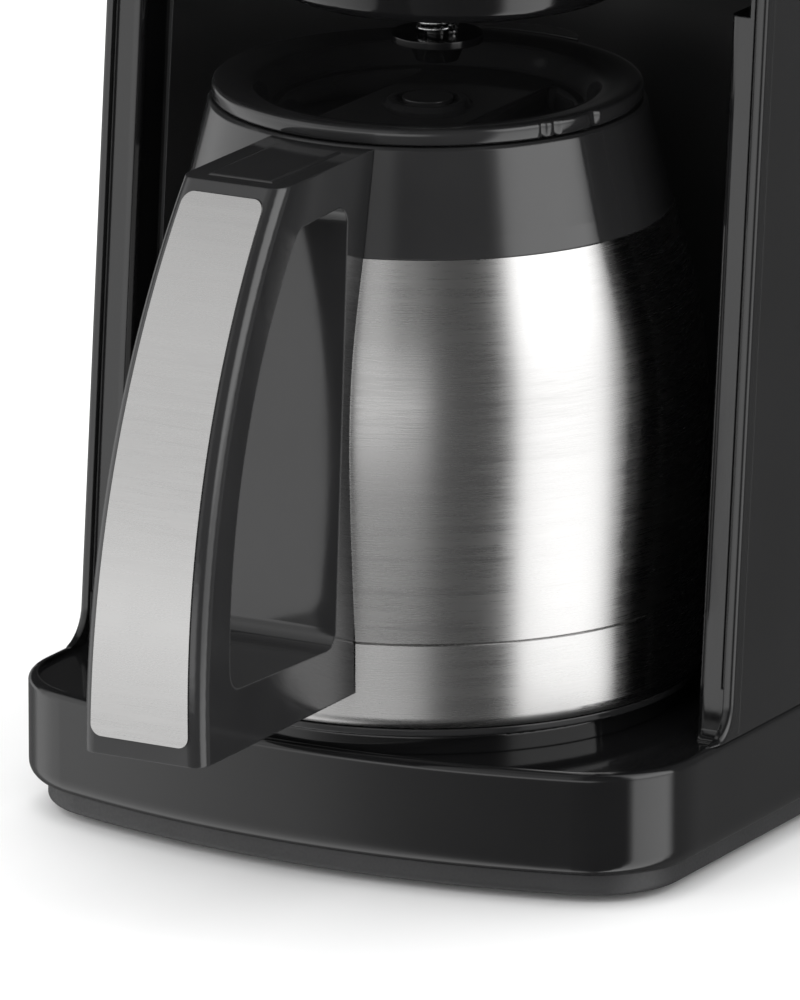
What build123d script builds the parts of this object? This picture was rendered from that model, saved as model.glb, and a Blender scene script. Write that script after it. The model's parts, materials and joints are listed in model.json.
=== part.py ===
from build123d import *
import os
from math import sqrt

os.makedirs("parts", exist_ok=True)

# ---------------------------------------------------------------- driving dimensions (mm)
# The origin is on the counter, on the carafe's axis. +X is right, +Y back, +Z up.
HEIGHT = 368
HALF_WIDTH = 97
FRONT_Y = -72            # front of the base at the centre of its bow
SHOULDER_Y = -53.5       # where the bow would meet the sides
REAR_Y = 150
FRONT_CORNER = 30
REAR_CORNER = 22
WALL = 2.5

# base
FOOT_H = 2
PLINTH_TOP = 8
PLINTH_INSET = 5
DECK_Z = 35
LIP_H = 1.2
LIP_EDGE = 2
BASE_EDGE = 5

# tower
TOWER_TOP = 292
TRIM_INNER = 85.9
TRIM_DEPTH = 14
FACE_Y = -13             # front face of the pillars at the carafe's foot
RAKE = 0.093             # the pillars lean back by this much per unit of height
RIM_W = 2.6
RIM_H = 1.2
RIM_CORNER = 1.6
RIM_GROOVE = 1.3
PILLAR_EDGE = 2.6
NOTCH_Z = 223
NOTCH_W = 6
LINER_R = 85
LINER_WALL = 2
LINER_Y = 12
COVER_HALF = 72

# head
HEAD_TOP = 352
PANEL_PROUD = 1.5
LID_HALF = 69.4
LID_FRONT = -19.4
LID_REAR = 134
LID_T = 4
LID_AXIS_Z = HEIGHT - LID_T / 2
SHOWER_R = 45

# brew basket, which slides out to the front
BASKET_Y = 12
BOWL_Z = 219.5
BOWL_R = 47
BOWL_TOP_R = 58
BOWL_RIM_Z = 284
DOOR_BOTTOM = 246
DOOR_TOP = 291
VALVE_Y = 5
VALVE_TIP_Z = 201

# carafe
REST_Z = 40.5
STEEL_TOP_Z = 164.8
SEAM_Z = 65.3
COLLAR_TOP_Z = 192.4
RIM_TOP_Z = 197
DISH_Z = 190
STEEL_WALL = 0.8
NECK_R = 48
HANDLE_TOP_Z = 192
HANDLE_BOTTOM_Z = 52
HANDLE_TOP_HALF = 15
HANDLE_BOTTOM_HALF = 17.8

BUTTON_X = {"power": -44, "strength": -22, "clean": 0, "hour": 22, "minute": 44}
BUTTON_Z = 309
BUTTON_R = 5
SWITCH_Y = -57

BOW_RADIUS = (HALF_WIDTH**2 + (SHOULDER_Y - FRONT_Y) ** 2) / (2 * (SHOULDER_Y - FRONT_Y))


# ---------------------------------------------------------------- shared outlines
def plan(inset, z):
    """The bowed outline that base and head share, pulled in evenly by inset."""
    with BuildSketch(Plane.XY.offset(z)) as outline:
        with BuildLine():
            ThreePointArc((-HALF_WIDTH, SHOULDER_Y), (0, FRONT_Y), (HALF_WIDTH, SHOULDER_Y))
            Polyline(
                (HALF_WIDTH, SHOULDER_Y),
                (HALF_WIDTH, REAR_Y),
                (-HALF_WIDTH, REAR_Y),
                (-HALF_WIDTH, SHOULDER_Y),
            )
        make_face()
        fillet(outline.vertices().group_by(Axis.Y)[0], FRONT_CORNER)
        fillet(outline.vertices().group_by(Axis.Y)[-1], REAR_CORNER)
        if inset:
            offset(amount=-inset)
    return outline.sketch


def bow_y(x):
    """Y of the front bow at a given X."""
    return FRONT_Y + BOW_RADIUS - sqrt(BOW_RADIUS**2 - x**2)


def face_y(z):
    """Y of the pillars' front face at a given height."""
    return FACE_Y + RAKE * (z - REST_Z)


def raked(start, end, z0, z1, x=0):
    """A strip along a YZ plane at X between two depths behind the raked pillar face."""
    with BuildSketch(Plane.YZ.offset(x)) as strip:
        with BuildLine():
            Polyline(
                (face_y(z0) + start, z0),
                (face_y(z0) + end, z0),
                (face_y(z1) + end, z1),
                (face_y(z1) + start, z1),
                close=True,
            )
        make_face()
    return strip.sketch


def toe(front, z, leg, x):
    """The concave corner at X that carries a raked face down into a level one."""
    slope = Vector(RAKE, 1).normalized()
    corner = Vector(face_y(z) + front, z)
    upper = corner + slope * leg
    lower = corner + Vector(-leg, 0)
    with BuildSketch(Plane.YZ.offset(x)) as web:
        with BuildLine():
            TangentArc(upper, lower, tangent=slope * -1)
            Polyline(lower, corner + Vector(0.4, 0), upper + slope * 0.1 + Vector(0.4, 0), upper)
        make_face()
    return web.sketch


def at(*spots):
    """Locations from plain points."""
    return Locations(*[Location(spot) for spot in spots])


def slab(x0, x1, y0, y1, z0, z1, mode=Mode.ADD):
    """A box between two corners, added to the part being built."""
    with at(((x0 + x1) / 2, (y0 + y1) / 2, (z0 + z1) / 2)):
        Box(x1 - x0, y1 - y0, z1 - z0, mode=mode)


def tube(points, radii, outer, inner):
    """A round hose through points, with an arc at each corner."""
    with BuildPart() as hose:
        with BuildLine() as route:
            FilletPolyline(*points, radius=radii)
        start = Plane(origin=route.line @ 0, z_dir=route.line % 0)
        with BuildSketch(start):
            Circle(outer)
            Circle(inner, mode=Mode.SUBTRACT)
        sweep()
    return hose.part


def finish(piece, label):
    """Names a finished piece and writes it."""
    piece.label = label
    export_step(piece, f"parts/{label}.step")


# ---------------------------------------------------------------- base
BOSSES = [(-72, -30), (72, -30), (-72, 128), (72, 128)]
INLET = (-50, 125)
OUTLET = (78, 80)
HOSE_R = 4.5
HOSE_BORE = 3
HOSE_CLEARANCE = 4.5       # room around a hose where it bends through the deck
SCREW_R = 1.5
CAVITY_Z = 14

with BuildPart() as base_tray:
    extrude(plan(0, PLINTH_TOP), amount=DECK_Z + LIP_H - PLINTH_TOP)
    fillet(base_tray.faces().sort_by(Axis.Z)[0].outer_wire().edges(), BASE_EDGE)
    fillet(base_tray.faces().sort_by(Axis.Z)[-1].outer_wire().edges(), LIP_EDGE)
    extrude(plan(WALL, DECK_Z), amount=LIP_H, mode=Mode.SUBTRACT)
    extrude(plan(PLINTH_INSET + 4, PLINTH_TOP), amount=CAVITY_Z - PLINTH_TOP, mode=Mode.SUBTRACT)
    extrude(plan(WALL, CAVITY_Z), amount=DECK_Z - WALL - CAVITY_Z, mode=Mode.SUBTRACT)
    with at(*[(x, y, (PLINTH_TOP + DECK_Z - WALL) / 2) for x, y in BOSSES]):
        Cylinder(5, DECK_Z - WALL - PLINTH_TOP)
        Cylinder(SCREW_R, DECK_Z - WALL - PLINTH_TOP, mode=Mode.SUBTRACT)
    with at((*INLET, DECK_Z), (*OUTLET, DECK_Z)):
        Cylinder(HOSE_R + HOSE_CLEARANCE, 12, mode=Mode.SUBTRACT)
finish(base_tray.part, "base_tray")

with BuildPart() as bottom_cover:
    extrude(plan(PLINTH_INSET, FOOT_H), amount=PLINTH_TOP - FOOT_H)
    fillet(bottom_cover.faces().sort_by(Axis.Z)[0].outer_wire().edges(), 2)
    extrude(plan(PLINTH_INSET + 6, FOOT_H + WALL), amount=PLINTH_TOP - FOOT_H - WALL, mode=Mode.SUBTRACT)
    with at(*[(x, y, (FOOT_H + PLINTH_TOP) / 2) for x, y in BOSSES]):
        Cylinder(6, PLINTH_TOP - FOOT_H)
        Cylinder(SCREW_R, PLINTH_TOP, mode=Mode.SUBTRACT)
    with at(*[(x, y, FOOT_H + 1) for x, y in BOSSES]):
        Cylinder(3.2, 2, mode=Mode.SUBTRACT)
    with GridLocations(12, 0, 7, 1):
        slab(-3, 3, 60, 100, 0, PLINTH_TOP, Mode.SUBTRACT)
finish(bottom_cover.part, "bottom_cover")

FEET = [(-62, -42), (62, -42), (-76, 112), (76, 112)]
with BuildPart() as rubber_feet:
    with at(*[(x, y, FOOT_H / 2) for x, y in FEET]):
        Cylinder(8, FOOT_H)
    fillet(rubber_feet.edges().group_by(Axis.Z)[0], 0.6)
finish(rubber_feet.part, "rubber_feet")

with BuildPart() as base_screws:
    with at(*[(x, y, FOOT_H + 2 + 9) for x, y in BOSSES]):
        Cylinder(SCREW_R, 18)
    with at(*[(x, y, FOOT_H + 1.1) for x, y in BOSSES]):
        Cylinder(3, 1.8)
finish(base_screws.part, "base_screws")

with BuildPart() as rest_plate:
    with at((0, 0, (DECK_Z + REST_Z) / 2)):
        Cylinder(68, REST_Z - DECK_Z)
    fillet(rest_plate.edges().group_by(Axis.Z)[-1], 1.2)
    with at((0, 0, REST_Z)):
        Cylinder(58, 1.6, mode=Mode.SUBTRACT)
finish(rest_plate.part, "rest_plate")

# ---------------------------------------------------------------- tower
for side, name in ((-1, "left_pillar_trim"), (1, "right_pillar_trim")):
    with BuildPart() as pillar:
        shoulder = HALF_WIDTH - RIM_W
        extrude(raked(0, TRIM_DEPTH, DECK_Z, TOWER_TOP, TRIM_INNER), amount=shoulder - TRIM_INNER)
        extrude(raked(-RIM_H, 3.3, DECK_Z + LIP_H, TOWER_TOP, shoulder), amount=RIM_W)
        extrude(toe(-RIM_H, DECK_Z + LIP_H, 9, shoulder), amount=RIM_W)
        extrude(toe(0, DECK_Z, 3, TRIM_INNER), amount=shoulder - TRIM_INNER)
        slab(
            TRIM_INNER - 1, TRIM_INNER + NOTCH_W, -20, face_y(TOWER_TOP) + NOTCH_W,
            NOTCH_Z, TOWER_TOP, Mode.SUBTRACT,
        )
        upright = pillar.edges().filter_by(Axis((0, 0, 0), (0, RAKE, 1)))
        rim = upright.filter_by(lambda e: abs(e.center().Y - face_y(e.center().Z) + RIM_H) < 0.1)
        fillet(rim.group_by(Axis.X)[-1], RIM_CORNER)
        upright = pillar.edges().filter_by(Axis((0, 0, 0), (0, RAKE, 1)))
        inner_edge = upright.filter_by(lambda e: abs(e.center().Y - face_y(e.center().Z)) < 0.1)
        fillet(inner_edge.group_by(Axis.X)[0], PILLAR_EDGE)
        groove = raked(-0.5, 0.8, DECK_Z + 14, TOWER_TOP, shoulder - RIM_GROOVE)
        extrude(groove, amount=RIM_GROOVE, mode=Mode.SUBTRACT)
        if side < 0:
            mirror(about=Plane.YZ, mode=Mode.REPLACE)
    finish(pillar.part, name)

with BuildPart() as alcove_liner:
    with BuildSketch(Plane.XY.offset(DECK_Z)):
        with Locations((0, LINER_Y)):
            Circle(LINER_R + LINER_WALL)
        with Locations((0, LINER_Y - 20)):
            Rectangle(2 * (LINER_R + LINER_WALL), 40)
        with Locations((0, LINER_Y)):
            Circle(LINER_R, mode=Mode.SUBTRACT)
        with Locations((0, LINER_Y - 60)):
            Rectangle(2 * LINER_R, 120, mode=Mode.SUBTRACT)
    extrude(amount=TOWER_TOP - DECK_Z)
    extrude(raked(-40, TRIM_DEPTH, DECK_Z - 1, TOWER_TOP + 1), amount=120, both=True, mode=Mode.SUBTRACT)
finish(alcove_liner.part, "alcove_liner")

SCREW_SPOTS = [(x, z) for x in (-68, 68) for z in (62, 164, 268)]
GLAND = (48, 56)
for side, name in ((-1, "left_side_panel"), (1, "right_side_panel")):
    with BuildPart() as panel:
        extrude(plan(0, DECK_Z + LIP_H), amount=TOWER_TOP - DECK_Z - LIP_H)
        extrude(plan(WALL, DECK_Z), amount=TOWER_TOP, mode=Mode.SUBTRACT)
        extrude(raked(-80, 3.6, DECK_Z, TOWER_TOP + 1), amount=120, both=True, mode=Mode.SUBTRACT)
        slab(-HALF_WIDTH - 1, COVER_HALF, -99, REAR_Y + 1, DECK_Z, TOWER_TOP, Mode.SUBTRACT)
        slab(COVER_HALF - 8, COVER_HALF + 3, REAR_Y - 2 * WALL, REAR_Y - WALL, DECK_Z + LIP_H, TOWER_TOP)
        with at(*[(68, REAR_Y - 4, z) for x, z in SCREW_SPOTS if x > 0]):
            Cylinder(SCREW_R, 12, rotation=(90, 0, 0), mode=Mode.SUBTRACT)
        if side < 0:
            mirror(about=Plane.YZ, mode=Mode.REPLACE)
    finish(panel.part, name)

with BuildPart() as rear_cover:
    slab(-COVER_HALF, COVER_HALF, REAR_Y - WALL, REAR_Y, DECK_Z + LIP_H, TOWER_TOP)
    with at(*[(x, REAR_Y - 1, z) for x, z in SCREW_SPOTS]):
        Cylinder(SCREW_R, 10, rotation=(90, 0, 0), mode=Mode.SUBTRACT)
    with at(*[(x, REAR_Y - 0.6, z) for x, z in SCREW_SPOTS]):
        Cylinder(3.2, 1.2, rotation=(90, 0, 0), mode=Mode.SUBTRACT)
    with at((GLAND[0], REAR_Y - 1, GLAND[1])):
        Cylinder(7, 12, rotation=(90, 0, 0), mode=Mode.SUBTRACT)
    for row in range(6):
        slab(-40, 40, REAR_Y - 5, REAR_Y + 5, 74 + 7 * row, 77 + 7 * row, Mode.SUBTRACT)
finish(rear_cover.part, "rear_cover")

with BuildPart() as rear_screws:
    with at(*[(x, REAR_Y - 3, z) for x, z in SCREW_SPOTS]):
        Cylinder(SCREW_R, 4.6, rotation=(90, 0, 0))
    with at(*[(x, REAR_Y - 0.7, z) for x, z in SCREW_SPOTS]):
        Cylinder(3, 1, rotation=(90, 0, 0))
finish(rear_screws.part, "rear_screws")

with BuildPart() as cord_gland:
    with at((GLAND[0], REAR_Y - 6, GLAND[1])):
        Cylinder(7, 12, rotation=(90, 0, 0))
    with at((GLAND[0], REAR_Y - 6, GLAND[1])):
        Cylinder(3.7, 12, rotation=(90, 0, 0), mode=Mode.SUBTRACT)
finish(cord_gland.part, "cord_gland")

# ---------------------------------------------------------------- head
HEAD_HOLE_R = 8
TANK_FRONT = 104
PANEL_HALF = 62
PANEL_Z = (298, 346)
WINDOW_HALF = 26
WINDOW_Z = (320, 340)

with BuildPart() as head_shell:
    extrude(plan(0, TOWER_TOP), amount=HEAD_TOP - TOWER_TOP)
    extrude(plan(WALL, TOWER_TOP + WALL), amount=HEAD_TOP, mode=Mode.SUBTRACT)
    slab(-90, 90, TANK_FRONT - 1, REAR_Y - WALL, TOWER_TOP, TOWER_TOP + WALL, Mode.SUBTRACT)
    with at((0, BASKET_Y, TOWER_TOP)):
        Cylinder(HEAD_HOLE_R, 20, mode=Mode.SUBTRACT)
    with at((*OUTLET, TOWER_TOP)):
        Cylinder(HOSE_R + 0.5, 20, mode=Mode.SUBTRACT)
    slab(-WINDOW_HALF, WINDOW_HALF, -90, -60, *WINDOW_Z, Mode.SUBTRACT)
    with at(*[(x, -70, BUTTON_Z) for x in BUTTON_X.values()]):
        Cylinder(BUTTON_R + 0.4, 30, rotation=(90, 0, 0), mode=Mode.SUBTRACT)
finish(head_shell.part, "head_shell")

with BuildPart() as control_panel:
    extrude(plan(-PANEL_PROUD, PANEL_Z[0]), amount=PANEL_Z[1] - PANEL_Z[0])
    extrude(plan(0, PANEL_Z[0]), amount=PANEL_Z[1] - PANEL_Z[0], mode=Mode.SUBTRACT)
    with BuildSketch(Plane.XZ.offset(60)):
        with Locations((0, sum(PANEL_Z) / 2)):
            RectangleRounded(2 * PANEL_HALF, PANEL_Z[1] - PANEL_Z[0] - 1, 6)
    extrude(amount=30, mode=Mode.INTERSECT)
    slab(-WINDOW_HALF, WINDOW_HALF, -90, -60, *WINDOW_Z, Mode.SUBTRACT)
    with at(*[(x, -70, BUTTON_Z) for x in BUTTON_X.values()]):
        Cylinder(BUTTON_R + 0.4, 30, rotation=(90, 0, 0), mode=Mode.SUBTRACT)
finish(control_panel.part, "control_panel")

with BuildPart() as display_window:
    extrude(plan(-PANEL_PROUD + 0.3, WINDOW_Z[0]), amount=WINDOW_Z[1] - WINDOW_Z[0])
    extrude(plan(1.2, WINDOW_Z[0]), amount=WINDOW_Z[1] - WINDOW_Z[0], mode=Mode.SUBTRACT)
    slab(-WINDOW_HALF, WINDOW_HALF, -90, -60, *WINDOW_Z, Mode.INTERSECT)
finish(display_window.part, "display_window")

with BuildPart() as display_module:
    slab(-WINDOW_HALF + 1, WINDOW_HALF - 1, -68, -60, WINDOW_Z[0] - 1, WINDOW_Z[1] + 1)
finish(display_module.part, "display_module")

PCB_Y = -53
with BuildPart() as control_board:
    slab(-58, 58, PCB_Y, PCB_Y + 1.6, 300, 345)
    slab(-14, 14, PCB_Y + 1.6, PCB_Y + 5, 318, 336)
    slab(-40, 40, -60, PCB_Y, 322, 338)
    with at(*[(sx * 54, PCB_Y, sz) for sx in (-1, 1) for sz in (304, 341)]):
        Cylinder(1.6, 10, rotation=(90, 0, 0), mode=Mode.SUBTRACT)
finish(control_board.part, "control_board")

with BuildPart() as tact_switches:
    for x in BUTTON_X.values():
        slab(x - 3, x + 3, SWITCH_Y + 1, PCB_Y, BUTTON_Z - 3, BUTTON_Z + 3)
finish(tact_switches.part, "tact_switches")

for name, x in BUTTON_X.items():
    front = bow_y(x) - PANEL_PROUD - 1.5
    rear = SWITCH_Y - 0.6
    flange = bow_y(abs(x) + 7) + WALL + 0.4
    with BuildPart() as button:
        with at((x, (front + rear) / 2, BUTTON_Z)):
            Cylinder(BUTTON_R, rear - front, rotation=(90, 0, 0))
        fillet(button.faces().sort_by(Axis.Y)[0].edges(), 0.8)
        with at((x, flange + 0.6, BUTTON_Z)):
            Cylinder(BUTTON_R + 1.6, 1.2, rotation=(90, 0, 0))
    finish(button.part, f"{name}_button")

with BuildPart() as top_deck:
    extrude(plan(0, HEAD_TOP), amount=HEIGHT - HEAD_TOP)
    fillet(top_deck.faces().sort_by(Axis.Z)[-1].outer_wire().edges(), 6)
    extrude(plan(WALL, HEAD_TOP), amount=HEIGHT - HEAD_TOP - 8, mode=Mode.SUBTRACT)
    slab(
        -LID_HALF - 0.6, LID_HALF + 0.6, LID_FRONT - 0.6, LID_REAR + LID_T / 2 + 0.8,
        HEIGHT - LID_T - 0.4, HEIGHT + 1, Mode.SUBTRACT,
    )
    slab(-LID_HALF + 4, LID_HALF - 4, LID_FRONT + 4, LID_REAR - 6, HEAD_TOP, HEIGHT, Mode.SUBTRACT)
    with at((0, LID_REAR, LID_AXIS_Z)):
        Cylinder(1, 2 * LID_HALF + 12, rotation=(0, 90, 0), mode=Mode.SUBTRACT)
finish(top_deck.part, "top_deck")

with BuildPart() as top_lid:
    slab(-LID_HALF, LID_HALF, LID_FRONT, LID_REAR, HEIGHT - LID_T, HEIGHT)
    fillet(top_lid.edges().filter_by(Axis.Z).group_by(Axis.Y)[0], 6)
    with at((0, LID_REAR, LID_AXIS_Z)):
        Cylinder(LID_T / 2, 2 * LID_HALF, rotation=(0, 90, 0))
        Cylinder(1.05, 2 * LID_HALF + 2, rotation=(0, 90, 0), mode=Mode.SUBTRACT)
    slab(-14, 14, LID_FRONT - 1, LID_FRONT + 3, HEIGHT - LID_T - 1, HEIGHT - 1.5, Mode.SUBTRACT)
finish(top_lid.part, "top_lid")

with BuildPart() as lid_hinge_pin:
    with at((0, LID_REAR, LID_AXIS_Z)):
        Cylinder(1, 2 * LID_HALF + 12, rotation=(0, 90, 0))
finish(lid_hinge_pin.part, "lid_hinge_pin")

# ---------------------------------------------------------------- water path
TANK_Z = (120, 345)
TANK_HALF = 88
HEATER_Z = 25.5
HEATER_R = 50

with BuildPart() as water_tank:
    slab(-TANK_HALF, TANK_HALF, TANK_FRONT, REAR_Y - 6, *TANK_Z)
    fillet(water_tank.edges().filter_by(Axis.Z).group_by(Axis.Y)[-1], 16)
    fillet(water_tank.edges().filter_by(Axis.Z).group_by(Axis.Y)[0], 4)
    offset(amount=-2, openings=water_tank.faces().sort_by(Axis.Z)[-1])
    with at((*INLET, TANK_Z[0])):
        Cylinder(HOSE_BORE, 10, mode=Mode.SUBTRACT)
finish(water_tank.part, "water_tank")

with BuildPart() as check_valve:
    with at((*INLET, TANK_Z[0] - 10)):
        Cylinder(7, 20)
        Cylinder(HOSE_BORE, 20, mode=Mode.SUBTRACT)
    fillet(check_valve.edges().filter_by(GeomType.CIRCLE).sort_by(SortBy.RADIUS)[-2:], 1)
finish(check_valve.part, "check_valve")

HEATER_LEG = 40
with BuildPart() as heater_body:
    for x in (-HEATER_R, HEATER_R):
        with BuildSketch(Plane.XZ):
            with Locations((x, HEATER_Z)):
                RectangleRounded(18, 13, 4)
                Circle(HOSE_BORE, mode=Mode.SUBTRACT)
        extrude(amount=-HEATER_LEG)
    with BuildSketch(Plane.XZ):
        with Locations((HEATER_R, HEATER_Z)):
            RectangleRounded(18, 13, 4)
            Circle(HOSE_BORE, mode=Mode.SUBTRACT)
    revolve(axis=Axis.Z, revolution_arc=-180)
finish(heater_body.part, "heater_body")

ELEMENT_Z = HEATER_Z - 6.5
with BuildPart() as heater_bracket:
    slab(-80, 80, -8, 8, ELEMENT_Z - 1.5, ELEMENT_Z)
    with at((-75, 0, ELEMENT_Z), (75, 0, ELEMENT_Z)):
        Cylinder(2, 10, mode=Mode.SUBTRACT)
    for x in (-1, 1):
        slab(x * 70 - 10, x * 70 + 10, -8, 8, ELEMENT_Z, DECK_Z - WALL)
finish(heater_bracket.part, "heater_bracket")

with BuildPart() as thermostat:
    with at((0, -HEATER_R, ELEMENT_Z - 2.5)):
        Cylinder(8, 5)
    slab(-1.5, 1.5, -HEATER_R - 12, -HEATER_R + 12, ELEMENT_Z - 3, ELEMENT_Z - 2)
finish(thermostat.part, "thermostat")

with BuildPart() as thermal_fuse:
    with at((-36, -34, ELEMENT_Z - 2)):
        Cylinder(2, 14, rotation=(0, 90, 45))
finish(thermal_fuse.part, "thermal_fuse")

inlet_hose = tube(
    [(*INLET, TANK_Z[0] - 20), (*INLET, HEATER_Z), (-HEATER_R, HEATER_LEG, HEATER_Z)],
    [16],
    HOSE_R,
    HOSE_BORE,
)
finish(inlet_hose, "inlet_hose")

RISER_TOP = 316
riser_hose = tube(
    [
        (HEATER_R, HEATER_LEG, HEATER_Z),
        (HEATER_R, OUTLET[1], HEATER_Z),
        (*OUTLET, HEATER_Z),
        (*OUTLET, RISER_TOP),
        (0, BASKET_Y, RISER_TOP),
        (0, BASKET_Y, TOWER_TOP + 6),
    ],
    [13, 13, 16, 11],
    HOSE_R,
    HOSE_BORE,
)
finish(riser_hose, "riser_hose")

with BuildPart() as shower_head:
    with at((0, BASKET_Y, TOWER_TOP - 2)):
        Cylinder(SHOWER_R, 4)
    with at((0, BASKET_Y, TOWER_TOP + 3)):
        Cylinder(HEAD_HOLE_R - 0.5, 6)
    with at((0, BASKET_Y, TOWER_TOP + 3)):
        Cylinder(HOSE_BORE, 14, mode=Mode.SUBTRACT)
    for radius, count in ((12, 6), (24, 10), (36, 14)):
        with at((0, BASKET_Y, TOWER_TOP - 3)):
            with PolarLocations(radius, count):
                Cylinder(1.2, 8, mode=Mode.SUBTRACT)
finish(shower_head.part, "shower_head")

with BuildPart() as power_board:
    slab(34, 84, 112, 113.6, DECK_Z, 86)
    slab(40, 56, 113.6, 128, 44, 62)
    slab(62, 78, 113.6, 126, 66, 80)
finish(power_board.part, "power_board")

# ---------------------------------------------------------------- brew basket slide
CARRIER_R = 60.2
RAIL_Y = (-6, 52)
with BuildPart() as basket_door:
    extrude(plan(0.3, DOOR_BOTTOM), amount=DOOR_TOP - DOOR_BOTTOM)
    fillet(basket_door.faces().sort_by(Axis.Z)[0].outer_wire().edges(), 2)
    extrude(plan(WALL + 0.3, DOOR_BOTTOM + WALL), amount=DOOR_TOP, mode=Mode.SUBTRACT)
    behind_pillars = raked(-RIM_H - 0.6, 200, DOOR_BOTTOM - 1, DOOR_TOP + 1)
    extrude(behind_pillars, amount=120, both=True, mode=Mode.SUBTRACT)
    with at((0, BASKET_Y, DOOR_BOTTOM)):
        Cylinder(CARRIER_R + 4, 20, mode=Mode.SUBTRACT)
finish(basket_door.part, "basket_door")

with BuildPart() as basket_carrier:
    with at((0, BASKET_Y, 277)):
        Cylinder(CARRIER_R + 3.3, 14)
    slab(-71, 71, -28, 52, 277.5, 280.5)
    slab(-20, 20, -90, -40, 270, 284)
    extrude(plan(WALL + 0.3, 260), amount=40, mode=Mode.INTERSECT)
    with at((0, BASKET_Y, 277)):
        Cylinder(CARRIER_R, 30, mode=Mode.SUBTRACT)
finish(basket_carrier.part, "basket_carrier")

with BuildPart() as basket_rails:
    for x in (-1, 1):
        slab(x * 72.8 - 1.2, x * 72.8 + 1.2, *RAIL_Y, 274.4, TOWER_TOP)
        slab(x * 70 - 4, x * 70 + 4, *RAIL_Y, 274.4, 277)
        slab(x * 70 - 4, x * 70 + 4, *RAIL_Y, 281, 283.6)
finish(basket_rails.part, "basket_rails")

NECK_Z = 213
BOWL_WALL = 2
STEM_R = 3
SLOT_R = 5.2              # the six drip slots around the valve's stem
SLOT_W = 1.6
with BuildPart() as brew_basket:
    with BuildSketch(Plane.XZ.offset(-BASKET_Y)):
        with BuildLine():
            Line((0, BOWL_Z), (BOWL_R - 4, BOWL_Z))
            TangentArc((BOWL_R - 4, BOWL_Z), (BOWL_R, BOWL_Z + 3.5), tangent=(1, 0))
            Polyline(
                (BOWL_R, BOWL_Z + 3.5),
                (BOWL_TOP_R, BOWL_RIM_Z),
                (BOWL_TOP_R + 4.6, BOWL_RIM_Z),
                (BOWL_TOP_R + 4.6, BOWL_RIM_Z + 3),
                (BOWL_TOP_R - BOWL_WALL, BOWL_RIM_Z + 3),
                (BOWL_R - BOWL_WALL, BOWL_Z + 5),
                (BOWL_R - 6, BOWL_Z + BOWL_WALL),
                (0, BOWL_Z + BOWL_WALL),
                (0, BOWL_Z),
            )
        make_face()
    revolve(axis=Axis((0, BASKET_Y, 0), (0, 0, 1)))
    with at((0, VALVE_Y, (NECK_Z + BOWL_Z + 1) / 2)):
        Cylinder(9, BOWL_Z + 1 - NECK_Z)
    with at((0, VALVE_Y, BOWL_Z)):
        Cylinder(STEM_R + 0.4, 30, mode=Mode.SUBTRACT)
    with at((0, VALVE_Y, BOWL_Z)):
        with PolarLocations(SLOT_R, 6):
            Box(SLOT_W, SLOT_W, 20, mode=Mode.SUBTRACT)
finish(brew_basket.part, "brew_basket")

VALVE_DISC_Z = 207
with BuildPart() as valve_stem:
    with BuildSketch(Plane.XZ.offset(-VALVE_Y)):
        with BuildLine():
            Polyline(
                (0, VALVE_TIP_Z),
                (5.5, VALVE_TIP_Z),
                (7.5, VALVE_DISC_Z - 1.5),
                (12, VALVE_DISC_Z - 1),
                (12, VALVE_DISC_Z + 1),
                (STEM_R, VALVE_DISC_Z + 1),
                (STEM_R, BOWL_Z + 8),
                (0, BOWL_Z + 8),
                close=True,
            )
        make_face()
    revolve(axis=Axis((0, VALVE_Y, 0), (0, 0, 1)))
finish(valve_stem.part, "valve_stem")

with BuildPart() as valve_seal:
    with at((0, VALVE_Y, BOWL_Z + BOWL_WALL + 1.6)):
        Cylinder(8, 3)
        Cylinder(STEM_R, 3, mode=Mode.SUBTRACT)
    fillet(valve_seal.edges().filter_by(GeomType.CIRCLE).sort_by(SortBy.RADIUS)[-2:], 0.8)
finish(valve_seal.part, "valve_seal")

SPRING_R = 5
SPRING_WIRE = 0.45
with BuildPart() as valve_spring:
    with BuildLine() as coil:
        Helix(
            pitch=1.6,
            height=NECK_Z - VALVE_DISC_Z - 1 - 2.4 * SPRING_WIRE,
            radius=SPRING_R,
            center=(0, VALVE_Y, VALVE_DISC_Z + 1 + 1.2 * SPRING_WIRE),
        )
    with BuildSketch(Plane(origin=coil.line @ 0, z_dir=coil.line % 0)):
        Circle(SPRING_WIRE)
    sweep()
finish(valve_spring.part, "valve_spring")

# ---------------------------------------------------------------- carafe
SEAM_GAP = 0.35
BODY = [(72.0, SEAM_Z + SEAM_GAP), (72.9, 94), (70.1, 140.6), (63.8, STEEL_TOP_Z)]


def body_sketch(shift):
    """Half section of the steel body's outer wall, moved in by shift."""
    with BuildSketch(Plane.XZ) as section:
        with BuildLine():
            curve = Spline(*[(r - shift, z) for r, z in BODY], tangents=[(0.04, 1), (-0.28, 1)])
            Polyline(curve @ 1, (0, STEEL_TOP_Z), (0, SEAM_Z + SEAM_GAP), curve @ 0)
        make_face()
    return section.sketch


with BuildPart() as carafe_shell:
    revolve(body_sketch(0), axis=Axis.Z)
    revolve(body_sketch(STEEL_WALL), axis=Axis.Z, mode=Mode.SUBTRACT)
finish(carafe_shell.part, "carafe_shell")

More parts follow.
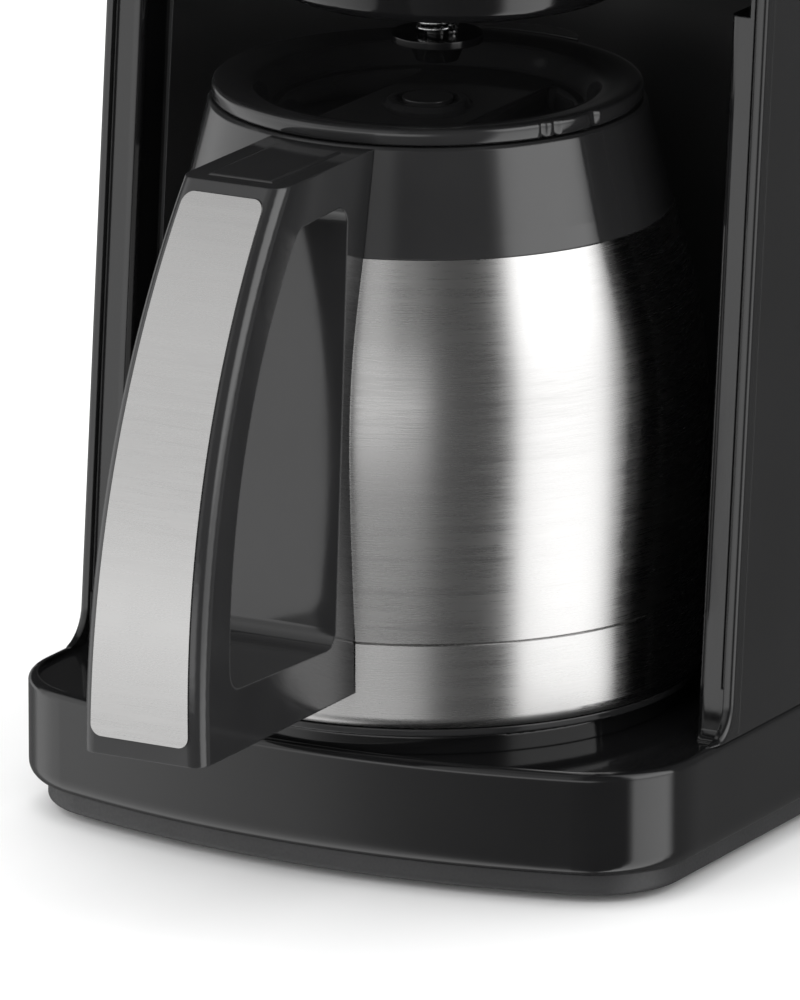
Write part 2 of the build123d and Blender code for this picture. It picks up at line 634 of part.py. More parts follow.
CUP_Z = REST_Z + 2
with BuildPart() as carafe_base_cup:
    with BuildSketch(Plane.XZ):
        with BuildLine():
            Line((0, CUP_Z), (69.5, CUP_Z))
            TangentArc((69.5, CUP_Z), (72.6, CUP_Z + 3.4), tangent=(1, 0))
            Polyline(
                (72.6, CUP_Z + 3.4),
                (71.9, SEAM_Z - 0.4),
                (71.5, SEAM_Z),
                (71.1, SEAM_Z),
                (71.1, SEAM_Z + 3),
                (71.1 - STEEL_WALL, SEAM_Z + 3),
                (71.1 - STEEL_WALL, CUP_Z + 3.4),
                (69.5 - STEEL_WALL, CUP_Z + STEEL_WALL),
                (0, CUP_Z + STEEL_WALL),
                (0, CUP_Z),
            )
        make_face()
    revolve(axis=Axis.Z)
finish(carafe_base_cup.part, "carafe_base_cup")

with BuildPart() as carafe_foot_ring:
    with at((0, 0, REST_Z + 1)):
        Cylinder(71.2, 2)
        Cylinder(60, 2, mode=Mode.SUBTRACT)
    fillet(carafe_foot_ring.edges().group_by(Axis.Z)[0], 0.5)
finish(carafe_foot_ring.part, "carafe_foot_ring")

LINER_SPLIT_Z = 154
LINER_T = 1


FLASK_BODY = [(0, 49), (61, 49), (65, 55), (66, 94), (63, 140), (55.8, 156.8)]
FLASK_NECK = [(59.7, 151), (NECK_R, 164), (NECK_R, 186)]


def liner_part(outline, z0, z1, label):
    """One drawn piece of the steel flask, an even wall about the axis, trimmed level at z0 and z1."""
    with BuildPart() as drawn:
        with BuildSketch(Plane.XZ):
            with BuildLine():
                offset(Polyline(*outline), amount=LINER_T, side=Side.LEFT)
            make_face()
        revolve(axis=Axis.Z)
        slab(-HALF_WIDTH, HALF_WIDTH, -HALF_WIDTH, HALF_WIDTH, z0, z1, Mode.INTERSECT)
    finish(drawn.part, label)


liner_part(FLASK_BODY, REST_Z, LINER_SPLIT_Z, "carafe_liner")
liner_part(FLASK_NECK, LINER_SPLIT_Z, COLLAR_TOP_Z, "carafe_liner_neck")

SPOUT_REACH = 64
with BuildPart() as carafe_collar:
    with BuildSketch(Plane.XZ):
        with BuildLine():
            Polyline(
                (NECK_R, STEEL_TOP_Z),
                (63.6, STEEL_TOP_Z),
                (62.1, 170.3),
                (56.9, 191.7),
                (56.2, COLLAR_TOP_Z),
                (NECK_R, COLLAR_TOP_Z),
                close=True,
            )
        make_face()
    revolve(axis=Axis.Z)
    with BuildSketch(Plane.XY.offset(168)):
        with Locations((0, 52)):
            Ellipse(6, 8)
    with BuildSketch(Plane.XY.offset(RIM_TOP_Z)):
        with Locations((0, 52)):
            Ellipse(15, SPOUT_REACH - 52)
    loft()
    with at((0, 0, 180)):
        Cylinder(NECK_R, 60, mode=Mode.SUBTRACT)
    with at((0, 0, COLLAR_TOP_Z + 5)):
        Cylinder(56.8, 10, mode=Mode.SUBTRACT)
finish(carafe_collar.part, "carafe_collar")


def carafe_envelope():
    """Everything inside the carafe's outer surface and its lid's rim, as one solid."""
    with BuildPart() as mass:
        revolve(body_sketch(-0.02), axis=Axis.Z)
        with BuildSketch(Plane.XZ):
            with BuildLine():
                Polyline(
                    (0, REST_Z), (72.7, REST_Z), (72.7, SEAM_Z), (63.8, STEEL_TOP_Z), (62.2, 170.3),
                    (57.1, 191.7), (57.1, RIM_TOP_Z + 5), (0, RIM_TOP_Z + 5), close=True,
                )
            make_face()
        revolve(axis=Axis.Z)
    return mass.part


OPENING_CORNER = 5
FINGER_SIDE = [(-94.5, 180), (-124.5, 127), (-134, 68.5)]
GRIP_EDGE = 4.2
GRIP_EDGE_LENGTH = 60
GRIP = [(-103, HANDLE_TOP_Z), (-137.5, 129), (-149.3, HANDLE_BOTTOM_Z)]
with BuildPart() as carafe_handle:
    with BuildSketch(Plane.YZ) as side_view:
        with BuildLine():
            ThreePointArc(*GRIP)
            Polyline(GRIP[2], (-60, HANDLE_BOTTOM_Z), (-45, HANDLE_TOP_Z), GRIP[0])
        make_face()
        with BuildLine():
            ThreePointArc(*FINGER_SIDE)
            Polyline(FINGER_SIDE[2], (-80, 66.5), (-69, 181), FINGER_SIDE[0])
        make_face(mode=Mode.SUBTRACT)
        fillet(side_view.vertices().filter_by(lambda v: 60 < v.Y < 185), OPENING_CORNER)
    extrude(amount=20, both=True)
    with BuildSketch(Plane.XZ.offset(40)):
        with BuildLine():
            Polyline(
                (-HANDLE_BOTTOM_HALF, HANDLE_BOTTOM_Z),
                (HANDLE_BOTTOM_HALF, HANDLE_BOTTOM_Z),
                (HANDLE_TOP_HALF, HANDLE_TOP_Z),
                (-HANDLE_TOP_HALF, HANDLE_TOP_Z),
                close=True,
            )
        make_face()
    extrude(amount=120, mode=Mode.INTERSECT)
    long_edges = carafe_handle.edges().filter_by(lambda e: e.length > GRIP_EDGE_LENGTH)
    grip_edges = long_edges.filter_by(lambda e: e.center().Y < -131)
    fillet(grip_edges, GRIP_EDGE)
    add(carafe_envelope(), mode=Mode.SUBTRACT)
    slab(-9.5, 9.5, -98, -62, HANDLE_TOP_Z - 3, HANDLE_TOP_Z + 1, Mode.SUBTRACT)
    with at((0, -68, HANDLE_TOP_Z - 9)):
        Cylinder(2, 12, mode=Mode.SUBTRACT)
finish(carafe_handle.part, "carafe_handle")

with BuildPart() as handle_cap:
    slab(-9.3, 9.3, -97.8, -62.2, HANDLE_TOP_Z - 2.8, HANDLE_TOP_Z + 0.4)
    fillet(handle_cap.edges().group_by(Axis.Z)[-1], 0.8)
finish(handle_cap.part, "handle_cap")

with BuildPart() as handle_screws:
    with at((0, -68, HANDLE_TOP_Z - 9)):
        Cylinder(2, 11)
finish(handle_screws.part, "handle_screws")

INLAY_Z = (57, 189.5)
INLAY_TOP_HALF = 11.6
INLAY_BOTTOM_HALF = 14.2
with BuildPart() as handle_inlay:
    with BuildSketch(Plane.YZ):
        with BuildLine():
            outer = ThreePointArc(*[(y - 0.7, z) for y, z in GRIP])
            Line(outer @ 1, outer @ 1 + (3, 0))
            ThreePointArc(outer @ 1 + (3, 0), (GRIP[1][0] + 2.3, GRIP[1][1]), outer @ 0 + (3, 0))
            Line(outer @ 0 + (3, 0), outer @ 0)
        make_face()
    extrude(amount=20, both=True)
    with BuildSketch(Plane.XZ.offset(60)) as front_view:
        with BuildLine():
            Polyline(
                (-INLAY_BOTTOM_HALF, INLAY_Z[0]),
                (INLAY_BOTTOM_HALF, INLAY_Z[0]),
                (INLAY_TOP_HALF, INLAY_Z[1]),
                (-INLAY_TOP_HALF, INLAY_Z[1]),
                close=True,
            )
        make_face()
        fillet(front_view.vertices(), 3)
    extrude(amount=120, mode=Mode.INTERSECT)
inlay = handle_inlay.part - carafe_handle.part
finish(inlay, "handle_inlay")

LID_R = 55.8
LID_FLOOR_Z = DISH_Z - 4
with BuildPart() as lid_top:
    with BuildSketch(Plane.XZ):
        with BuildLine():
            Polyline(
                (7, DISH_Z - 3),
                (7, DISH_Z),
                (42, DISH_Z),
                (45, RIM_TOP_Z - 1.6),
                (53, RIM_TOP_Z),
                (LID_R - 1, RIM_TOP_Z),
                (LID_R, RIM_TOP_Z - 1),
                (LID_R, COLLAR_TOP_Z + 0.4),
                (NECK_R - 1.4, COLLAR_TOP_Z + 0.4),
                (NECK_R - 1.4, LID_FLOOR_Z),
                (40, LID_FLOOR_Z),
                (39, DISH_Z - 3),
                close=True,
            )
        make_face()
    revolve(axis=Axis.Z)
finish(lid_top.part, "lid_top")

with BuildPart() as lid_plug:
    with at((0, 0, LID_FLOOR_Z - 5)):
        Cylinder(44, 10)
        Cylinder(40, 10, mode=Mode.SUBTRACT)
finish(lid_plug.part, "lid_plug")

with BuildPart() as lid_gasket:
    with at((0, 0, LID_FLOOR_Z - 5)):
        Cylinder(46.6, 3)
        Cylinder(44, 3, mode=Mode.SUBTRACT)
finish(lid_gasket.part, "lid_gasket")

with BuildPart() as lid_valve_disc:
    with at((0, 0, DISH_Z - 1)):
        Cylinder(6.6, 6)
    with at((0, 0, LID_FLOOR_Z - 1.8)):
        Cylinder(12, 3)
    with at((0, 0, DISH_Z - 4)):
        Cylinder(4, 12)
finish(lid_valve_disc.part, "lid_valve_disc")

print("pieces written:", len(os.listdir("parts")))
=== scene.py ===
"""The looks of a drip coffee maker with an insulated steel carafe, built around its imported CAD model."""

import json
import math

import bmesh
import bpy
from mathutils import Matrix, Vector


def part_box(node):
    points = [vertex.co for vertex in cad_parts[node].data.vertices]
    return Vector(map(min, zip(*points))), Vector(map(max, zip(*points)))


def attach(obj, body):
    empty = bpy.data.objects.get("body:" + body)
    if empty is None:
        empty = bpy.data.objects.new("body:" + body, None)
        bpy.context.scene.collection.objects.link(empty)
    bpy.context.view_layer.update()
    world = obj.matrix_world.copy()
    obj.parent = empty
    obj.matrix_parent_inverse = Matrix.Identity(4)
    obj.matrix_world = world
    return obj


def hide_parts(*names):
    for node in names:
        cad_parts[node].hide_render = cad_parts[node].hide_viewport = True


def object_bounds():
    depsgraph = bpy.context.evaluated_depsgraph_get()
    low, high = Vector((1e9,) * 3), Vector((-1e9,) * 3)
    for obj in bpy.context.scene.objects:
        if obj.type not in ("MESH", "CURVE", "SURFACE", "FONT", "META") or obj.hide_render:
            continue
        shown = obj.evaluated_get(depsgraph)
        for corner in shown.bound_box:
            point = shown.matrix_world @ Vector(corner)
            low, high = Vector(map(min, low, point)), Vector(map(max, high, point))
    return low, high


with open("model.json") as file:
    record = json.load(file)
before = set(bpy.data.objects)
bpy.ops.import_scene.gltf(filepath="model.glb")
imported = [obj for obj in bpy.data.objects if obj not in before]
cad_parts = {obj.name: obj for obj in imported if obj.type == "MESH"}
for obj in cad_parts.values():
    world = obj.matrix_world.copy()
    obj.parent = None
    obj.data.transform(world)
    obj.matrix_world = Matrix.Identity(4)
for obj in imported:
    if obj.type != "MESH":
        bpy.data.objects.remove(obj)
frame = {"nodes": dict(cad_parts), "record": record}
cad_low, cad_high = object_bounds()
NODES = frame["nodes"]
MM = 0.001


# ---------------------------------------------------------------- materials
class Graph:
    """A node tree being made: adds nodes, and sets or links their inputs."""

    def __init__(self, tree):
        self.tree = tree

    def node(self, kind, inputs=None, **settings):
        made = self.tree.nodes.new(kind)
        for key, value in settings.items():
            setattr(made, key, value)
        for key, value in (inputs or {}).items():
            self.put(made.inputs[key], value)
        return made

    def put(self, socket, value):
        if isinstance(value, bpy.types.NodeSocket):
            self.tree.links.new(value, socket)
        else:
            socket.default_value = value

    def spread(self, source, low, high, start=0.3, end=0.7):
        """Carries source from start..end to low..high."""
        inputs = {"Value": source, "From Min": start, "From Max": end, "To Min": low, "To Max": high}
        return self.node("ShaderNodeMapRange", inputs).outputs[0]

    def math(self, operation, first, second):
        made = self.node("ShaderNodeMath", operation=operation)
        self.put(made.inputs[0], first)
        self.put(made.inputs[1], second)
        return made.outputs[0]

    def fade(self, factor, start, end):
        """Value from start to end by factor."""
        return self.node("ShaderNodeMix", {"Factor": factor, "A": start, "B": end}).outputs["Result"]


class Paint(Graph):
    """A material being made around a Principled shader."""

    def __init__(self, name):
        self.material = bpy.data.materials.new(name)
        self.material.use_nodes = True
        super().__init__(self.material.node_tree)
        self.shader = self.tree.nodes["Principled BSDF"]
        self.place = self.node("ShaderNodeTexCoord").outputs["Object"]

    def set(self, **values):
        """Sets the shader's own inputs, whose names have spaces where these have underscores."""
        for key, value in values.items():
            self.put(self.shader.inputs[key.replace("_", " ")], value)

    def noise(self, scale, stretch=(1, 1, 1), detail=4.0, roughness=0.55):
        """Noise from 0 to 1, scale cells to the metre, squeezed by stretch along each axis."""
        vector = self.node("ShaderNodeMapping", {"Vector": self.place, "Scale": stretch}).outputs[0]
        inputs = {"Vector": vector, "Scale": scale, "Detail": detail, "Roughness": roughness}
        return self.node("ShaderNodeTexNoise", inputs).outputs["Fac"]

    def blend(self, factor, dark, light):
        """Colour from dark to light by factor."""
        made = self.node("ShaderNodeMix", data_type="RGBA")
        self.put(made.inputs["Factor"], factor)
        self.put(made.inputs["A"], dark)
        self.put(made.inputs["B"], light)
        return made.outputs["Result"]

    def rounded(self, radius):
        """The normal as if every edge were rounded by radius, in metres."""
        return self.node("ShaderNodeBevel", {"Radius": radius}, samples=6).outputs[0]

    def edges(self, soft_normal, width=0.25):
        """1 on edges and 0 on open faces."""
        flat = self.node("ShaderNodeNewGeometry").outputs["Normal"]
        facing = self.node("ShaderNodeVectorMath", {0: soft_normal, 1: flat}, operation="DOT_PRODUCT")
        return self.spread(facing.outputs["Value"], 1.0, 0.0, 1.0 - width, 0.999)

    def bump(self, height, strength, depth, normal=None):
        inputs = {"Height": height, "Strength": strength, "Distance": depth}
        if normal is not None:
            inputs["Normal"] = normal
        return self.node("ShaderNodeBump", inputs).outputs[0]


def tint(colour, factor):
    """colour scaled by factor, as RGBA."""
    return (*[min(1.0, c * factor) for c in colour], 1.0)


def gloss_plastic(name, colour, rough=0.06, edge=0.4 * MM, wave=0.05):
    """Polished moulded plastic: faint flow marks, fine orange peel, and edges lightened partly by hairline
    rubbing and partly as a painted highlight along their rounding.
    """
    paint = Paint(name)
    soft = paint.rounded(edge)
    edge_band = paint.edges(soft)
    clouds = paint.noise(22)
    body = paint.blend(paint.spread(clouds, 0, 1), tint(colour, 0.85), tint(colour, 1.15))
    scuffs = paint.noise(260, (1, 1, 0.15), detail=8, roughness=0.7)
    # Edges lighten to 2.6 times the colour: partly hairline rubbing, partly a painted highlight standing in
    # for the bright lines that rounded edges catch.
    edge_lightening = paint.math("MULTIPLY", edge_band, paint.spread(scuffs, 0.2, 0.8))
    dull = paint.math("ADD", paint.spread(scuffs, rough, rough + 0.05), paint.math("MULTIPLY", edge_lightening, 0.16))
    peel = paint.bump(paint.noise(420, detail=2), wave, 0.05 * MM, soft)
    paint.set(
        Base_Color=paint.blend(edge_lightening, body, tint(colour, 2.6)),
        Roughness=dull,
        Normal=peel,
        IOR=1.5,
    )
    return paint.material


def matte_plastic(name, colour, rough=0.52, grain=1500, depth=0.06 * MM):
    """Moulded plastic with a fine spark-eroded grain and rubbed edges."""
    paint = Paint(name)
    soft = paint.rounded(0.5 * MM)
    edge_band = paint.edges(soft)
    speckle = paint.noise(grain, detail=3)
    body = paint.blend(paint.spread(paint.noise(35), 0, 1), tint(colour, 0.8), tint(colour, 1.2))
    edge_lightening = paint.math("MULTIPLY", edge_band, paint.spread(paint.noise(300), 0.1, 0.7))
    paint.set(
        Base_Color=paint.blend(edge_lightening, body, tint(colour, 2.2)),
        Roughness=paint.spread(speckle, rough - 0.08, rough + 0.1),
        Normal=paint.bump(speckle, 0.35, depth, soft),
    )
    return paint.material


def brushed_metal(name, colour, rough=0.27, along=(0.03, 0.03, 1), lines=3400, pull=0.82, contrast=0.05):
    """Metal brushed in one direction: along squeezes the noise so that its streaks run with the brushing."""
    paint = Paint(name)
    fine = paint.noise(lines, along, detail=3, roughness=0.75)
    broad = paint.noise(lines / 7, along, detail=2)
    streaks = paint.math("ADD", paint.math("MULTIPLY", fine, 0.6), paint.math("MULTIPLY", broad, 0.4))
    smudge = paint.noise(30, detail=3)
    shade = paint.spread(streaks, 0, 1, 0.35, 0.65)
    body = paint.blend(shade, tint(colour, 1 - contrast), tint(colour, 1 + contrast))
    streaky = paint.spread(streaks, rough - 0.05, rough + 0.05)
    dull = paint.math("ADD", streaky, paint.spread(smudge, -0.02, 0.03))
    paint.set(
        Base_Color=body,
        Metallic=1.0,
        Roughness=dull,
        Anisotropic=pull,
        Tangent=paint.node("ShaderNodeCombineXYZ", {"Z": 1.0}).outputs[0],
        Normal=paint.bump(streaks, 0.03, 0.01 * MM),
    )
    return paint.material


def plain_metal(name, colour, rough=0.32, grain=700):
    """Cast, plated or drawn metal with a mottled surface and brighter rubbed edges."""
    paint = Paint(name)
    soft = paint.rounded(0.3 * MM)
    mottle = paint.noise(grain, detail=6, roughness=0.65)
    body = paint.blend(paint.spread(mottle, 0, 1), tint(colour, 0.78), tint(colour, 1.08))
    paint.set(
        Base_Color=paint.blend(paint.edges(soft), body, tint(colour, 1.25)),
        Metallic=1.0,
        Roughness=paint.spread(mottle, rough - 0.08, rough + 0.12),
        Normal=paint.bump(mottle, 0.2, 0.05 * MM, soft),
    )
    return paint.material


def clear_plastic(name, colour, alpha, rough=0.08):
    """Tinted see-through plastic with faint flow lines."""
    paint = Paint(name)
    flow = paint.noise(45, (1, 1, 0.25), detail=3)
    paint.set(
        Base_Color=paint.blend(paint.spread(flow, 0, 1), tint(colour, 0.85), tint(colour, 1.15)),
        Roughness=paint.spread(paint.noise(300), rough, rough + 0.06),
        Alpha=paint.spread(flow, alpha - 0.03, alpha + 0.05),
        Normal=paint.bump(flow, 0.1, 0.1 * MM, paint.rounded(0.4 * MM)),
        IOR=1.5,
    )
    return paint.material


def rubber(name, colour, rough=0.7):
    """Moulded rubber or silicone: dusty bloom over a fine grain."""
    paint = Paint(name)
    bloom = paint.noise(120, detail=6, roughness=0.7)
    paint.set(
        Base_Color=paint.blend(paint.spread(bloom, 0, 1), tint(colour, 0.75), tint(colour, 1.3)),
        Roughness=paint.spread(bloom, rough - 0.1, rough + 0.12),
        Normal=paint.bump(paint.noise(1800, detail=3), 0.3, 0.04 * MM, paint.rounded(0.4 * MM)),
    )
    return paint.material


def circuit_board(name, colour):
    """Solder mask over copper tracks, with dots of solder."""
    paint = Paint(name)
    tracks = paint.node(
        "ShaderNodeTexBrick",
        {"Vector": paint.place, "Scale": 90.0, "Mortar Size": 0.08},
        offset=0.35,
    ).outputs["Fac"]
    dots = paint.node("ShaderNodeTexVoronoi", {"Vector": paint.place, "Scale": 260.0}).outputs["Distance"]
    pads = paint.spread(dots, 1, 0, 0.12, 0.2)
    mask = paint.blend(tracks, tint(colour, 0.8), tint(colour, 1.7))
    paint.set(
        Base_Color=paint.blend(pads, mask, (0.62, 0.62, 0.6, 1)),
        Metallic=pads,
        Roughness=paint.spread(paint.noise(500), 0.28, 0.42),
        Normal=paint.bump(paint.math("ADD", tracks, pads), 0.4, 0.08 * MM),
    )
    return paint.material


BLACK = (0.006, 0.006, 0.0063)
# Black lifted above the shell's for the carafe and its lid: painted light making up for the shade they sit in
# inside the bay.
BLACK_LIFTED_FOR_SHADE = (0.017, 0.017, 0.0175)
STEEL = (0.47, 0.466, 0.462)

MATERIALS = {
    "gloss_black_shell": gloss_plastic("gloss_black_shell", BLACK, edge=0.6 * MM),
    # The alcove's black is lifted far above the shell's: painted light making up for the shade deep in the
    # bay.
    "alcove_black": gloss_plastic("alcove_black", (0.034, 0.034, 0.0345), rough=0.34),
    "panel_black": gloss_plastic("panel_black", (0.008, 0.008, 0.009), rough=0.04),
    "matte_black_plastic": matte_plastic("matte_black_plastic", (0.02, 0.02, 0.021)),
    "basket_black": gloss_plastic("basket_black", BLACK, rough=0.1),
    # The carafe's plastic uses the lifted black: painted light against the shade of the bay.
    "carafe_black": gloss_plastic("carafe_black", BLACK_LIFTED_FOR_SHADE, rough=0.07, edge=0.6 * MM),
    "brushed_steel": brushed_metal("brushed_steel", STEEL),
    "satin_steel": brushed_metal("satin_steel", (0.56, 0.56, 0.56), rough=0.38, pull=0.4),
    "display_glass": clear_plastic("display_glass", (0.012, 0.014, 0.016), 0.62, rough=0.03),
    "display_dark": matte_plastic("display_dark", (0.05, 0.07, 0.065), rough=0.35),
    "circuit_board": circuit_board("circuit_board", (0.02, 0.11, 0.05)),
    "switch_grey": matte_plastic("switch_grey", (0.1, 0.1, 0.1)),
    "button_grey": gloss_plastic("button_grey", (0.2, 0.2, 0.205), rough=0.28),
    "smoked_tank": clear_plastic("smoked_tank", (0.12, 0.125, 0.13), 0.6),
    "valve_white": matte_plastic("valve_white", (0.7, 0.7, 0.67), rough=0.42),
    "silicone_hose": rubber("silicone_hose", (0.62, 0.62, 0.6), rough=0.45),
    "cast_aluminium": plain_metal("cast_aluminium", (0.68, 0.68, 0.69), rough=0.42),
    "zinc_steel": plain_metal("zinc_steel", (0.6, 0.6, 0.58), rough=0.3),
    "thermostat_body": matte_plastic("thermostat_body", (0.04, 0.04, 0.04), rough=0.4),
    "spring_steel": plain_metal("spring_steel", (0.58, 0.58, 0.58), rough=0.22),
    "black_rubber": rubber("black_rubber", (0.025, 0.025, 0.025)),
}


def dress(piece, slot):
    """Gives a piece the material of a slot, and nothing else."""
    piece.data.materials.clear()
    piece.data.materials.append(MATERIALS[slot])


SLOT_OF = {part["node"]: part["material_slot"] for part in frame["record"]["subparts"]}
for node_name, node in NODES.items():
    dress(node, SLOT_OF[node_name])


# ---------------------------------------------------------------- pieces built here
def add_piece(name, mesh, body, slot, *stands_for):
    """Puts a finished mesh in the scene as a piece that rides on a body."""
    piece = bpy.data.objects.new(name, mesh)
    bpy.context.scene.collection.objects.link(piece)
    dress(piece, slot)
    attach(piece, body)
    if stands_for:
        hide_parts(*stands_for)


def ring_mesh(name, rings, steps):
    """A closed mesh of rings about the Z axis, each a function from the angle to a radius and a height."""
    mesh = bmesh.new()
    loops = []
    for ring in rings:
        loop = []
        for step in range(steps):
            angle = 2 * math.pi * step / steps
            radius, height = ring(angle)
            loop.append(mesh.verts.new((radius * math.sin(angle), -radius * math.cos(angle), height)))
        loops.append(loop)
    for inner, outer in zip(loops, loops[1:]):
        for step in range(steps):
            after = (step + 1) % steps
            mesh.faces.new((inner[step], outer[step], outer[after], inner[after]))
    for loop in (loops[0], loops[-1]):
        centre = sum((v.co for v in loop), Vector()) / steps
        hub = mesh.verts.new(centre)
        for step in range(steps):
            mesh.faces.new((hub, loop[step], loop[(step + 1) % steps]))
    bmesh.ops.recalc_face_normals(mesh, faces=mesh.faces)
    made = bpy.data.meshes.new(name)
    mesh.to_mesh(made)
    mesh.free()
    made.polygons.foreach_set("use_smooth", [True] * len(made.polygons))
    return made


def smoothstep(value, start, end):
    """0 up to start, 1 from end on, and an even S between them."""
    share = max(0.0, min(1.0, (value - start) / (end - start)))
    return share * share * (3 - 2 * share)


lid_low, lid_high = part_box("lid_top")
LID_TOP = lid_high.z
LID_RADIUS = lid_high.x
LID_STEPS = 360
LID_SKIN = 1.8 * MM

# Each span is the pair of radii, or of distances, between which one level passes into the next.
DISH_DEPTH = 7 * MM
DISH_WALL = (40.5 * MM, 46 * MM)
CROWN_HEIGHT = 0.9 * MM
CROWN_SPAN = (46 * MM, 53 * MM)
BOSS_HEIGHT = 1.6 * MM
BOSS_RADIUS = 11 * MM
BOSS_SPAN = (BOSS_RADIUS - 0.6 * MM, BOSS_RADIUS + 0.5 * MM)
WELL_DEPTH = 1.1 * MM
WELL_SPAN = (7.6 * MM, 8.4 * MM)
POCKET_DEPTH = 5.5 * MM
POCKET_SIDE = (18.5 * MM, 21 * MM)
POCKET_REACH = (34.5 * MM, 38 * MM)
POCKET_SLOPE = (-24 * MM, 20 * MM)
POCKET_SHALLOW = 0.45

# Slots in the rim where the lid locks: the angle and the half-width of each, in degrees.
LOCK_SLOTS = ((61.0, 0.7), (65.0, 0.7), (79.0, 1.2))
LOCK_DEPTH = 0.8 * MM

# The lid's rings, as radii in mm: an even run over the dish, then a few over the rim.
DISH_RINGS = [0.4 + 0.6 * k for k in range(75)]
RIM_RINGS = [46, 48, 50, 52, 53, 54, 54.5]
UNDER_RINGS = 73


def lid_surface(radius, angle):
    """Height of the lid's dished top: two half-moon finger pockets beside a bar, and a boss in the middle."""
    x = radius * math.sin(angle)
    y = -radius * math.cos(angle)
    wall = smoothstep(radius, *DISH_WALL)
    crown = CROWN_HEIGHT * smoothstep(radius, *CROWN_SPAN)
    height = LID_TOP - DISH_DEPTH + wall * (DISH_DEPTH - CROWN_HEIGHT) + crown
    boss = 1 - smoothstep(radius, *BOSS_SPAN)
    well = 1 - smoothstep(radius, *WELL_SPAN)
    height += BOSS_HEIGHT * boss - WELL_DEPTH * well
    side = smoothstep(abs(x), *POCKET_SIDE)
    reach = 1 - smoothstep(radius, *POCKET_REACH)
    slope = POCKET_SHALLOW + (1 - POCKET_SHALLOW) * smoothstep(y, *POCKET_SLOPE)
    return height - POCKET_DEPTH * side * reach * slope


def lid_rim_radius(angle):
    """The rim's radius, which dips at the lock slots."""
    inset = 0.0
    for centre, half in LOCK_SLOTS:
        away = abs(math.degrees(angle) - centre)
        inset = max(inset, 1 - smoothstep(away, half * 0.7, half * 1.3))
    return LID_RADIUS - LOCK_DEPTH * inset


def lid_rings():
    """The lid's rings: out over its top, down its rim, and back in under its skin."""
    radii = DISH_RINGS + RIM_RINGS
    top = [lambda a, r=r * MM: (r, lid_surface(r, a)) for r in radii]
    rim = [
        lambda a: (lid_rim_radius(a) - 0.55 * MM, LID_TOP - 0.15 * MM),
        lambda a: (lid_rim_radius(a) - 0.15 * MM, LID_TOP - 0.5 * MM),
        lambda a: (lid_rim_radius(a), LID_TOP - 1.1 * MM),
        lambda a: (lid_rim_radius(a), LID_TOP - 3.7 * MM),
        lambda a: (lid_rim_radius(a) - 0.4 * MM, LID_TOP - 4.2 * MM),
        lambda a: (46.8 * MM, LID_TOP - 4.2 * MM),
        lambda a: (46.6 * MM, lid_low.z + 0.2 * MM),
        lambda a: (44.8 * MM, lid_low.z),
    ]
    under = [lambda a, r=r * MM: (r, lid_surface(r, a) - LID_SKIN) for r in reversed(radii[:UNDER_RINGS])]
    return top + rim + under


lid_mesh = ring_mesh("lid_top_visual", lid_rings(), LID_STEPS)
add_piece("lid_top_visual", lid_mesh, "carafe_lid", "carafe_black", "lid_top")


# ---------------------------------------------------------------- stage
FLOOR_HALF = 12
FLOOR_GAP = 0.1 * MM


def floor():
    """A plain pale floor, just under the feet."""
    mesh = bmesh.new()
    bmesh.ops.create_grid(mesh, x_segments=8, y_segments=8, size=FLOOR_HALF)
    made = bpy.data.meshes.new("floor")
    mesh.to_mesh(made)
    mesh.free()
    ground = bpy.data.objects.new("floor", made)
    bpy.context.scene.collection.objects.link(ground)
    ground.location.z = cad_low.z - FLOOR_GAP
    paint = Paint("floor_white")
    soft = paint.noise(3)
    paint.set(
        Base_Color=paint.blend(soft, (0.9, 0.9, 0.9, 1), (0.92, 0.92, 0.92, 1)),
        Roughness=0.9,
        Specular_IOR_Level=0.1,
    )
    made.materials.append(paint.material)
    ground.visible_glossy = False


# Brightness that gloss sees in the studio: degrees to the right of the machine's front, then radiance.
BELOW = [
    (-180, 0.12), (-120, 0.2), (-100, 1.0), (-70, 1.35), (-34, 1.0), (-15, 0.4), (0, 0.2), (20, 0.12),
    (40, 0.1), (58, 0.1), (70, 2.1), (101, 2.4), (117, 0.25), (150, 0.22), (180, 0.12),
]
LEVEL = [
    (-180, 0.12), (-140, 0.25), (-100, 1.1), (-62, 1.5), (-34, 1.6), (-15, 1.95), (10, 1.95), (28, 1.2),
    (42, 0.16), (58, 0.12), (70, 1.5), (101, 1.65), (117, 0.25), (150, 0.22), (180, 0.12),
]
ABOVE = [
    (-180, 0.03), (-130, 0.03), (-104, 0.05), (-80, 1.2), (-45, 1.25), (-30, 0.95), (-10, 0.7), (8, 0.6),
    (18, 0.12), (56, 0.1), (67, 2.2), (82, 3.1), (107, 3.1), (121, 0.2), (180, 0.12),
]
# The heights of a direction, from -1 to 1, between which one table passes into the next one up.
LEVEL_START = (-0.22, -0.12)
ABOVE_START = (0.02, 0.14)
CEILING_FADE = (0.55, 0.95)
CEILING_LEVEL = 0.35
# Brightness of the studio for everything but gloss.
SOFT_LEVEL = 1.5


def radiance(graph, bearing, table):
    """A socket that looks the bearing, from 0 to 1 for a whole turn, up in a table of degrees and levels."""
    peak = max(level for _, level in table)
    bands = graph.node("ShaderNodeFloatCurve", {"Value": bearing})
    curve = bands.mapping.curves[0]
    while len(curve.points) < len(table):
        curve.points.new(0.5, 0.5)
    for point, (degrees, level) in zip(curve.points, table):
        point.location = ((degrees + 180) / 360, level / peak)
        point.handle_type = "AUTO_CLAMPED"
    bands.mapping.update()
    return graph.math("MULTIPLY", bands.outputs[0], peak)


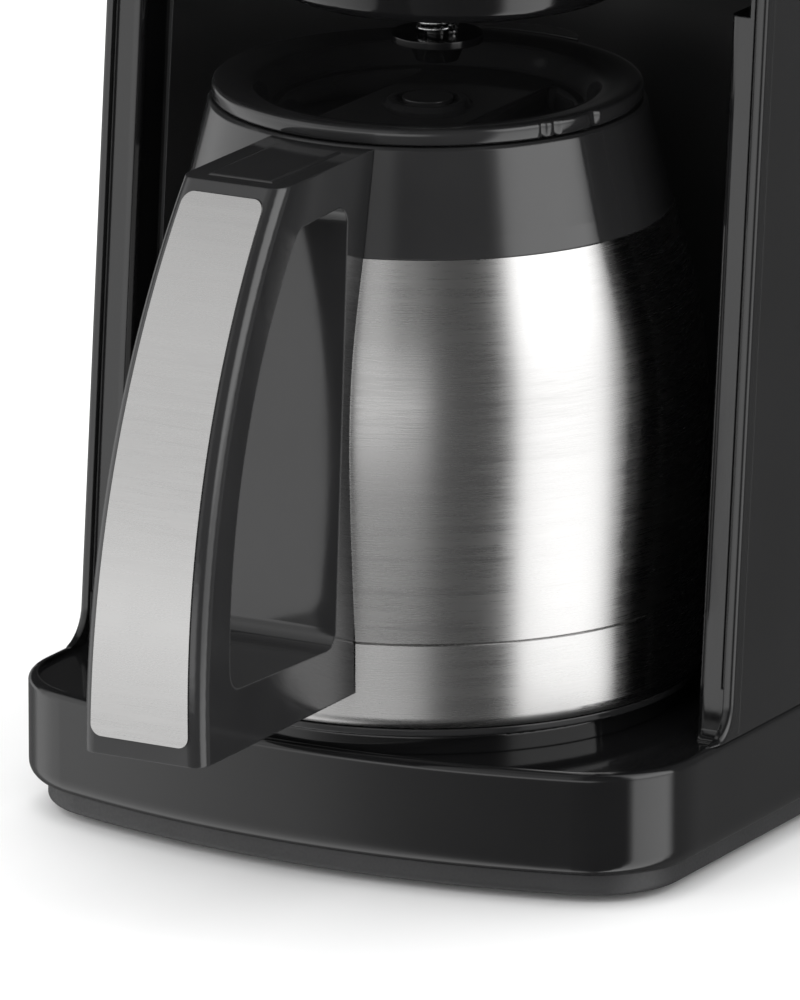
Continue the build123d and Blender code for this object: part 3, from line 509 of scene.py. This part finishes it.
def studio():
    """Even light for matt surfaces and the floor, and tall softboxes with dark gaps for gloss to reflect."""
    world = bpy.data.worlds.new("studio")
    bpy.context.scene.world = world
    world.use_nodes = True
    graph = Graph(world.node_tree)
    direction = graph.node("ShaderNodeTexCoord").outputs["Generated"]
    axes = graph.node("ShaderNodeSeparateXYZ", {0: direction}).outputs
    angle = graph.math("ARCTAN2", axes["X"], graph.math("MULTIPLY", axes["Y"], -1.0))
    bearing = graph.spread(angle, 0.0, 1.0, -math.pi, math.pi)
    seen = radiance(graph, bearing, BELOW)
    for table, span in ((LEVEL, LEVEL_START), (ABOVE, ABOVE_START)):
        share = graph.spread(axes["Z"], 0.0, 1.0, *span)
        upper = radiance(graph, bearing, table)
        seen = graph.fade(share, seen, upper)
    ceiling = graph.spread(axes["Z"], 1.0, CEILING_LEVEL, *CEILING_FADE)
    seen = graph.math("MULTIPLY", seen, ceiling)
    glossy = graph.node("ShaderNodeLightPath").outputs["Is Glossy Ray"]
    background = graph.tree.nodes["Background"]
    background.inputs["Color"].default_value = (1, 1, 1, 1)
    graph.put(background.inputs["Strength"], graph.fade(glossy, SOFT_LEVEL, seen))


def softbox(name, place, aim, size, watts):
    """A large area light that shines from place towards aim."""
    light = bpy.data.lights.new(name, "AREA")
    light.shape = "RECTANGLE"
    light.size, light.size_y = size
    light.energy = watts
    lamp = bpy.data.objects.new(name, light)
    lamp.location = place
    lamp.rotation_euler = (Vector(aim) - Vector(place)).to_track_quat("-Z", "Y").to_euler()
    bpy.context.scene.collection.objects.link(lamp)
    lamp.visible_camera = False
    lamp.visible_glossy = False


CAMERA_AZIMUTH = 29.09
CAMERA_ELEVATION = 15.61
CAMERA_DISTANCE = 4.0537
CAMERA_LENS = 559.77
AIM = Vector((-11.63, 6.22, 80.69)) * MM


def camera():
    """A long lens from the front right, a little above the carafe."""
    data = bpy.data.cameras.new("camera")
    data.lens = CAMERA_LENS
    data.sensor_width = 36
    data.clip_end = 60
    azimuth, elevation = math.radians(CAMERA_AZIMUTH), math.radians(CAMERA_ELEVATION)
    back = Vector((
        math.sin(azimuth) * math.cos(elevation),
        -math.cos(azimuth) * math.cos(elevation),
        math.sin(elevation),
    ))
    viewer = bpy.data.objects.new("camera", data)
    viewer.location = AIM + back * CAMERA_DISTANCE
    viewer.rotation_euler = (-back).to_track_quat("-Z", "Y").to_euler()
    bpy.context.scene.collection.objects.link(viewer)
    bpy.context.scene.camera = viewer


floor()
studio()
softbox("key", (0.6, -1.2, 2.4), (0, 0, 0.1), (1.6, 1.6), 6)
softbox("fill", (-1.4, -1.9, 0.8), (0.07, 0.02, 0.16), (1.0, 1.0), 5)
camera()
bpy.context.scene.view_settings.view_transform = "Standard"
